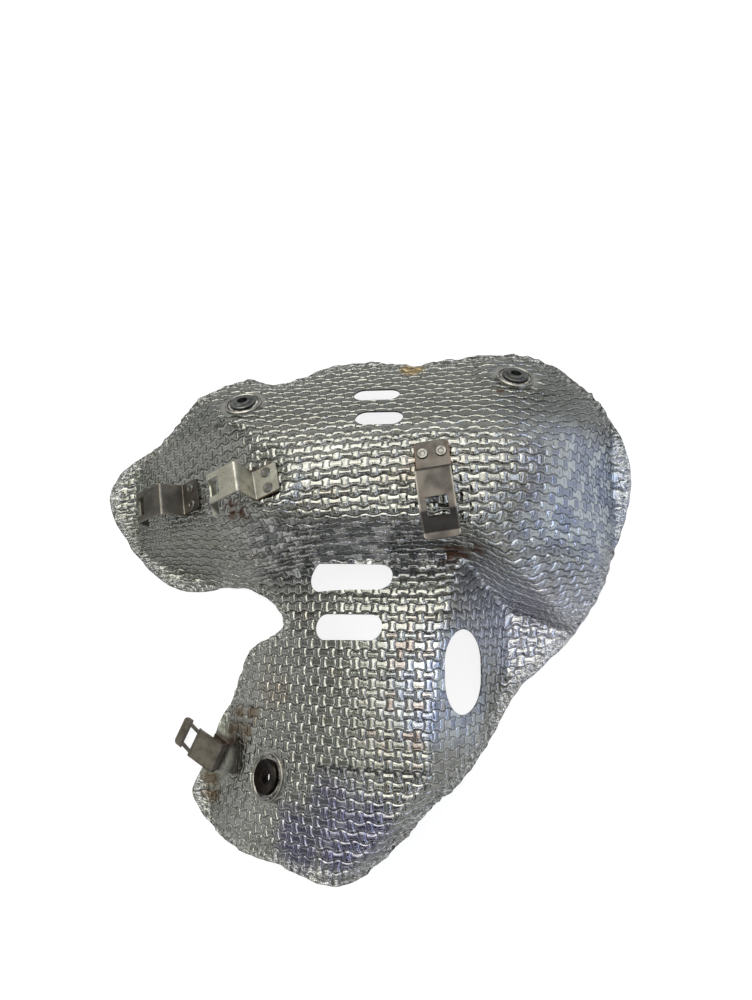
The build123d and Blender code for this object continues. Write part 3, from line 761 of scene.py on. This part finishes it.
    rough = calc(tree, "MULTIPLY_ADD", cloud, 0.12, calc(tree, "MULTIPLY_ADD", tone, 0.05, 0.05))
    rough = calc(tree, "MULTIPLY_ADD", flattened, 0.18, rough)
    crumple = times(tree, fleck, calc(tree, "MULTIPLY_ADD", crumpled, 0.9, 0.1))
    dents = bump(tree, crumple, 0.8, 0.003, bump(tree, grain, 0.05, 0.0003))
    strands = times(
        tree,
        height,
        calc(tree, "MULTIPLY_ADD", crumpled, -0.6, 1.0),
        calc(tree, "SUBTRACT", 1.0, flattened),
        calc(tree, "MULTIPLY_ADD", cloud, 1.2, 0.4),
        calc(tree, "MULTIPLY_ADD", ramp(tree, x, -0.085, -0.045), 0.4, 0.6),
    )
    connect(tree, shader, {
        "Base Color": colour,
        "Metallic": calc(tree, "SUBTRACT", 1.0, times(tree, rust, 0.3)),
        "Roughness": calc(tree, "MULTIPLY_ADD", rust, 0.4, rough),
        "Normal": bump(tree, strands, 1.0, 0.0011, dents),
    })
    return material


sheet.data.materials.append(embossed_steel())


# Each bush hole is bound by a crimped ring of the same bright steel as the sheet. The ring is spun
# over the hole's edge on both faces, so it shows fine rings and a dull line at its crease.
ring_creases = {"upper_left": 9.8, "upper_right": 9.8, "lower_left": 12.1}
ring_look = ((0.52, 0.51, 0.47, 1), (0.34, 0.33, 0.30, 1), 0.2, 16000.0)
ring_dark_line_width = 0.35


def turned_reach():
    """Group: distance from an axis, for marks that run round a turned piece."""
    group, start, end = new_group("turned_reach", {"Place": None, "Middle": None, "Axis": None}, ("Radius",))
    away = vector_calc(group, "SUBTRACT", start["Place"], start["Middle"])
    round_axis = vector_calc(group, "CROSS_PRODUCT", away, start["Axis"])
    connect(group, end, {"Radius": vector_calc(group, "LENGTH", round_axis)})
    return group


def mottle():
    """Group: broad clouds, small spots and fine grain for handled metal."""
    group, start, end = new_group("mottle", {"Place": None, "Scale": 120.0}, ("Cloud", "Spot", "Grain"))
    place, scale = start["Place"], start["Scale"]
    cloud = ramp(group, noise(group, place, scale, 4.0), 0.35, 0.68)
    spot = ramp(group, noise(group, place, times(group, scale, 6.0), 3.0, 0.6), 0.55, 0.72)
    grain = noise(group, place, times(group, scale, 22.0), 2.0)
    connect(group, end, {"Cloud": cloud, "Spot": spot, "Grain": grain})
    return group


turned_group = turned_reach()
mottle_group = mottle()
bush_axes = {}
for name, seat in bush_seats.items():
    middle, _, _, normal = seat_axes(seat)
    bush_axes[name] = (framed(*middle), tuple(normal))


def give(node_name, material):
    """Puts one material on a piece that comes from the solid model."""
    slots = bpy.data.objects[node_name].data.materials
    slots.clear()
    slots.append(material)


def handled_metal(name, scale):
    """Metal material with its tree, its shader, the places on its piece and its mottle."""
    material, tree, shader = new_material(name)
    shader.inputs["Metallic"].default_value = 1.0
    place = object_place(tree)
    return material, tree, shader, place, from_group(tree, mottle_group, {"Place": place, "Scale": scale})


def turned_steel(name, axis, pale, dark, rough, ridges, dark_ring_radius, dark_ring_width):
    """Turned steel: fine rings about its axis, clouds, and a darker ring at one radius."""
    material, tree, shader, place, marks = handled_metal(name, 240.0)
    radius = from_group(tree, turned_group, {"Place": place, "Middle": axis[0], "Axis": axis[1]})["Radius"]
    off = calc(tree, "ABSOLUTE", calc(tree, "SUBTRACT", radius, dark_ring_radius / 1000.0))
    dark_ring = ramp(tree, off, dark_ring_width / 1000.0, 0.0)
    dark_ring = times(tree, dark_ring, calc(tree, "MULTIPLY_ADD", marks["Cloud"], 0.6, 0.4))
    colour = blend_colour(tree, marks["Cloud"], pale, dark)
    colour = tint(tree, colour, marks["Spot"], 0.5, (0.10, 0.07, 0.05, 1))
    colour = tint(tree, colour, dark_ring, 0.8, (0.03, 0.022, 0.018, 1))
    rings = bump(tree, calc(tree, "SINE", times(tree, radius, ridges)), 0.12, 0.0002)
    connect(tree, shader, {
        "Base Color": colour,
        "Roughness": calc(tree, "MULTIPLY_ADD", marks["Cloud"], 0.14, rough),
        "Normal": bump(tree, marks["Grain"], 0.15, 0.0002, rings),
    })
    return material


for name, axis in bush_axes.items():
    ring_steel = turned_steel(name + "_ring_steel", axis, *ring_look, ring_creases[name], ring_dark_line_width)
    give(name + "_ring", ring_steel)


# Between ring and bush sits a cushion of knitted wire: fine bright wire looped round and round
# and pressed to a ring. It lets the shield shake without cracking at its bolts.
wire_radius = 0.13
wire_sides = 6
points_per_turn = 14
corner_power = 0.6
cushion_sizes = {"upper_left": (5.05, 8.95), "upper_right": (5.05, 8.95), "lower_left": (5.75, 11.25)}
cushion_half = 1.15
wire_winds = [(64, 0.0, 1.0), (-59, 0.7, 0.95), (52, 1.6, 0.8), (-47, 2.6, 0.74)]


def wire_coil(axes, inner, outer, turns, phase, shrink):
    """Wire wound round a ring: its middle goes round a rounded oblong section, cos and sin raised to 0.6, while
    the section goes once round the axis; a small circle about that path is the wire."""
    middle, along, across, normal = axes
    count = abs(turns) * points_per_turn
    turn = np.linspace(0, 2 * np.pi, count, endpoint=False)
    section = turns * turn + phase
    c, s = np.cos(section), np.sin(section)
    wide = ((outer - inner) / 2 - wire_radius) * shrink
    tall = (cushion_half - wire_radius) * shrink
    wander = 0.12 * np.sin(turn * 23 + phase) + 0.08 * np.sin(turn * 41 + 2 * phase)
    radius = (outer + inner) / 2 + wide * np.sign(c) * np.abs(c) ** corner_power
    height = -sheet_thickness / 2 + tall * np.sign(s) * np.abs(s) ** corner_power
    angle = turn + wander / radius
    path = (
        middle
        + np.outer(radius * np.cos(angle), along)
        + np.outer(radius * np.sin(angle), across)
        + np.outer(height, normal)
    )
    run = np.roll(path, -1, axis=0) - np.roll(path, 1, axis=0)
    run /= np.linalg.norm(run, axis=1)[:, None]
    side = np.cross(run, normal)
    side /= np.linalg.norm(side, axis=1)[:, None]
    top = np.cross(side, run)
    around = np.linspace(0, 2 * np.pi, wire_sides, endpoint=False)
    rows = [path + wire_radius * (math.cos(a) * side + math.sin(a) * top) for a in around]
    rows.append(rows[0])
    places = np.stack([turn, np.zeros(count)], axis=-1)
    points, places, quads = strip((np.array(rows) + frame_step) / 1000.0, [places] * len(rows))
    return points, places, quads[:, ::-1]


def knitted_wire():
    """Bright fine wire, dulled by soot in spots."""
    material, tree, shader, _, marks = handled_metal("knitted_wire", 300.0)
    connect(tree, shader, {
        "Base Color": blend_colour(tree, marks["Cloud"], (0.50, 0.49, 0.46, 1), (0.16, 0.15, 0.14, 1)),
        "Roughness": calc(tree, "MULTIPLY_ADD", marks["Spot"], 0.2, 0.26),
    })
    return material


wire_finish = knitted_wire()
for name, (inner, outer) in cushion_sizes.items():
    axes = seat_axes(bush_seats[name])
    coils = [wire_coil(axes, inner, outer, *wind) for wind in wire_winds]
    cushion = make_piece(name + "_knitted_wire", *joined(coils), "knitted_wire")
    cushion.data.materials.append(wire_finish)
    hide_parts(name + "_wire_cushion")


# The bushes are turned from dark steel: the two upper ones have a raised collar, the lower one is larger and dished.
# The lower one is coloured almost black, partly its dark steel and partly painted shade for the shadow in its dish.
# A plain washer closes each from below.
collared_look = ((0.19, 0.20, 0.19, 1), (0.085, 0.09, 0.085, 1), 0.32, 14000.0, 5.0, 0.5)
# Partly painted shade: the dished bush's colours are near black, darker than the collared bushes' steel.
dished_look_with_shade = ((0.03, 0.024, 0.02, 1), (0.010, 0.008, 0.007, 1), 0.3, 9000.0, 4.2, 0.9)
for name, label, look in (
    ("upper_left", "upper_left_bush_steel", collared_look),
    ("upper_right", "upper_right_bush_steel", collared_look),
    ("lower_left", "dished_bush_steel_and_shade", dished_look_with_shade),
):
    bush_steel = turned_steel(label, bush_axes[name], *look)
    give(name + "_bush", bush_steel)
    give(name + "_washer", bush_steel)


# The clips are bent from strip steel, thicker and duller than the sheet. Each clip has its own pale and dark colour,
# set to how light or dark it looks, so these are lit and shaded copies of one steel: painted light and shade. Their
# long edges are paler, partly from handling and partly a painted highlight on the rolled edges, and rust has started
# where they touch the shield.
strip_half = 8.9
# Painted light and shade: one strip steel, coloured lighter or darker for each clip by how lit it looks.
clip_lit_and_shaded_colours = {
    "left_end_clip": ((0.20, 0.188, 0.165, 1), (0.11, 0.104, 0.092, 1)),
    "left_clip": ((0.58, 0.57, 0.50, 1), (0.36, 0.355, 0.305, 1)),
    "centre_clip": ((0.108, 0.10, 0.09, 1), (0.07, 0.066, 0.06, 1)),
    "lower_clip": ((0.26, 0.235, 0.20, 1), (0.13, 0.115, 0.10, 1)),
}


def clip_axis(name):
    """Foot and across direction of a clip on its seat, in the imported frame."""
    point, (sx, sy), _, _ = clip_seats[name]
    turn = math.radians(clip_feet[name][2])
    along = np.array([math.cos(turn), math.sin(turn), sx * math.cos(turn) + sy * math.sin(turn)])
    normal = np.array([-sx, -sy, 1.0])
    across = np.cross(normal, along)
    return framed(*point), tuple(across / np.linalg.norm(across))


def strip_steel(name, pale, dark):
    """Strip steel: clouds from pale to dark, paler long edges (wear and a painted highlight), rust specks and a fine
    rolled grain.
    """
    material, tree, shader, place, marks = handled_metal(name + "_steel", 110.0)
    foot, across = clip_axis(name)
    away = vector_calc(tree, "SUBTRACT", place, foot)
    side = calc(tree, "ABSOLUTE", vector_calc(tree, "DOT_PRODUCT", away, across))
    worn_and_lit_edges = ramp(tree, side, (strip_half - 1.1) / 1000.0, (strip_half - 0.2) / 1000.0)
    worn_and_lit_edges = times(tree, worn_and_lit_edges, calc(tree, "SUBTRACT", 1.0, times(tree, marks["Spot"], 0.8)))
    rusted = times(tree, worn_and_lit_edges, ramp(tree, vector_calc(tree, "LENGTH", away), 0.014, 0.011))
    colour = blend_colour(tree, marks["Cloud"], pale, dark)
    # Paler long edges: partly wear from handling, partly a painted highlight on the rolled edges.
    colour = tint(tree, colour, worn_and_lit_edges, 0.55, (0.36, 0.34, 0.30, 1))
    colour = tint(tree, colour, marks["Spot"], 0.55, (0.12, 0.065, 0.04, 1))
    colour = tint(tree, colour, rusted, 0.9, (0.07, 0.035, 0.018, 1))
    connect(tree, shader, {
        "Base Color": colour,
        "Roughness": calc(tree, "MULTIPLY_ADD", marks["Cloud"], 0.16, 0.34),
        "Normal": bump(tree, marks["Grain"], 0.25, 0.0003),
    })
    return material


for name, (pale, dark) in clip_lit_and_shaded_colours.items():
    give(name, strip_steel(name, pale, dark))


# Two flat-headed rivets with a dished centre hold each clip. They are plain steel, paler than the
# darkest clip, with small spots of dirt all over.
def rivet_steel():
    """Pale steel with dirt spots and a fine grain."""
    material, tree, shader, _, marks = handled_metal("rivet_steel", 320.0)
    colour = blend_colour(tree, marks["Cloud"], (0.26, 0.255, 0.235, 1), (0.15, 0.145, 0.13, 1))
    connect(tree, shader, {
        "Base Color": tint(tree, colour, marks["Spot"], 0.6, (0.10, 0.08, 0.06, 1)),
        "Roughness": calc(tree, "MULTIPLY_ADD", marks["Cloud"], 0.15, 0.28),
        "Normal": bump(tree, marks["Grain"], 0.2, 0.0002),
    })
    return material


rivet_finish = rivet_steel()
for name in clip_feet:
    give(name + "_rivets", rivet_finish)


# The floor is a pale table in a plain room: bright and warm above the back, dark above the front,
# cool on the right, pale all round the horizon. One wide lamp gives the soft shadow.
floor_half = 4.0
lamp_place = np.array([-0.5, 1.1, 1.5])
lamp_target = np.array([0.0, 0.0, 0.04])
lamp_size, lamp_watts, lamp_colour = 1.6, 14.0, (1.0, 0.97, 0.92)
camera_right = np.array([0.98616, 0.0, -0.16581])
camera_up = np.array([0.02068, 0.99220, 0.12298])
camera_place = (98.336, -6.194, 518.924)


def studio_floor():
    """Wide square at the level the shield rests on, lit by itself where the camera or a reflection sees it."""
    mesh = bpy.data.meshes.new("studio_floor")
    corners = [(-floor_half, -floor_half, 0), (floor_half, -floor_half, 0)]
    corners += [(floor_half, floor_half, 0), (-floor_half, floor_half, 0)]
    mesh.from_pydata(corners, [], [(0, 1, 2, 3)])
    floor = bpy.data.objects.new("studio_floor", mesh)
    bpy.context.scene.collection.objects.link(floor)
    material, tree, shader = new_material("pale_table")
    path = put(tree, "ShaderNodeLightPath").outputs
    mirrored = times(tree, path["Is Glossy Ray"], 0.3)
    connect(tree, shader, {
        "Base Color": (0.28, 0.28, 0.28, 1),
        "Roughness": 0.7,
        "Specular IOR Level": 0.1,
        "Emission Color": (1, 1, 1, 1),
        "Emission Strength": calc(tree, "MULTIPLY_ADD", path["Is Camera Ray"], 0.85, mirrored),
    })
    mesh.materials.append(material)


def posed(side, up, back, place):
    """Matrix of an object from its three directions and its place."""
    return Matrix(np.vstack([np.column_stack([side, up, back, place]), (0, 0, 0, 1)]).tolist())


studio_floor()

lamp_data = bpy.data.lights.new("window_lamp", "AREA")
lamp_data.size = lamp_size
lamp_data.energy = lamp_watts
lamp_data.color = lamp_colour
lamp = bpy.data.objects.new("window_lamp", lamp_data)
bpy.context.scene.collection.objects.link(lamp)
lamp_back = (lamp_place - lamp_target) / np.linalg.norm(lamp_place - lamp_target)
lamp_side = np.cross((0, 0, 1), lamp_back)
lamp_side /= np.linalg.norm(lamp_side)
lamp.matrix_world = posed(lamp_side, np.cross(lamp_back, lamp_side), lamp_back, lamp_place)

world = bpy.data.worlds.new("studio")
bpy.context.scene.world = world
world.use_nodes = True
sky = world.node_tree
sky.nodes.clear()
toward = put(sky, "ShaderNodeTexCoord").outputs["Generated"]
toward_x, toward_y, toward_z = put(sky, "ShaderNodeSeparateXYZ", {0: toward}).outputs


def light_strip(axis, middle, half):
    """Mask of a soft-edged strip across the ceiling at one place along an axis."""
    away = calc(sky, "ABSOLUTE", calc(sky, "SUBTRACT", axis, middle))
    return ramp(sky, away, half * 1.6, half * 0.6)


room = blend_colour(sky, ramp(sky, toward_y, -0.10, 0.12), (0.06, 0.055, 0.085, 1), (0.62, 0.60, 0.53, 1))
for mask, colour in (
    (light_strip(toward_y, 0.14, 0.08), (2.3, 2.2, 1.95, 1)),
    (light_strip(toward_y, 0.52, 0.07), (2.0, 1.95, 1.8, 1)),
    (light_strip(toward_y, 0.80, 0.05), (1.5, 1.5, 1.45, 1)),
    (light_strip(toward_y, -0.48, 0.05), (1.5, 1.5, 1.6, 1)),
    (ramp(sky, toward_x, -0.26, -0.50), (0.30, 0.32, 0.28, 1)),
    (light_strip(toward_x, -0.62, 0.05), (1.25, 1.28, 1.15, 1)),
    (ramp(sky, toward_x, 0.36, 0.60), (0.62, 0.68, 0.86, 1)),
    (light_strip(toward_x, 0.70, 0.07), (1.7, 1.85, 2.2, 1)),
    (light_strip(toward_x, 0.17, 0.045), (2.3, 2.35, 2.5, 1)),
    (ramp(sky, toward_z, 0.46, 0.30), (0.20, 0.20, 0.20, 1)),
    (ramp(sky, toward_z, 0.20, 0.05), (0.66, 0.67, 0.66, 1)),
):
    room = blend_colour(sky, mask, room, colour)
seen = put(sky, "ShaderNodeLightPath").outputs["Is Camera Ray"]
light = put(sky, "ShaderNodeBackground", {"Color": blend_colour(sky, seen, room, (1, 1, 1, 1)), "Strength": 1.0})
put(sky, "ShaderNodeOutputWorld", {0: light.outputs[0]})

camera_data = bpy.data.cameras.new("camera")
camera_data.sensor_width = 36.0
camera_data.lens = 32.4
camera_data.clip_start = 0.01
camera = bpy.data.objects.new("camera", camera_data)
bpy.context.scene.collection.objects.link(camera)
camera_back = np.cross(camera_right, camera_up)
camera.matrix_world = posed(camera_right, camera_up, camera_back, framed(*camera_place))
bpy.context.scene.camera = camera
bpy.context.scene.view_settings.view_transform = "Standard"
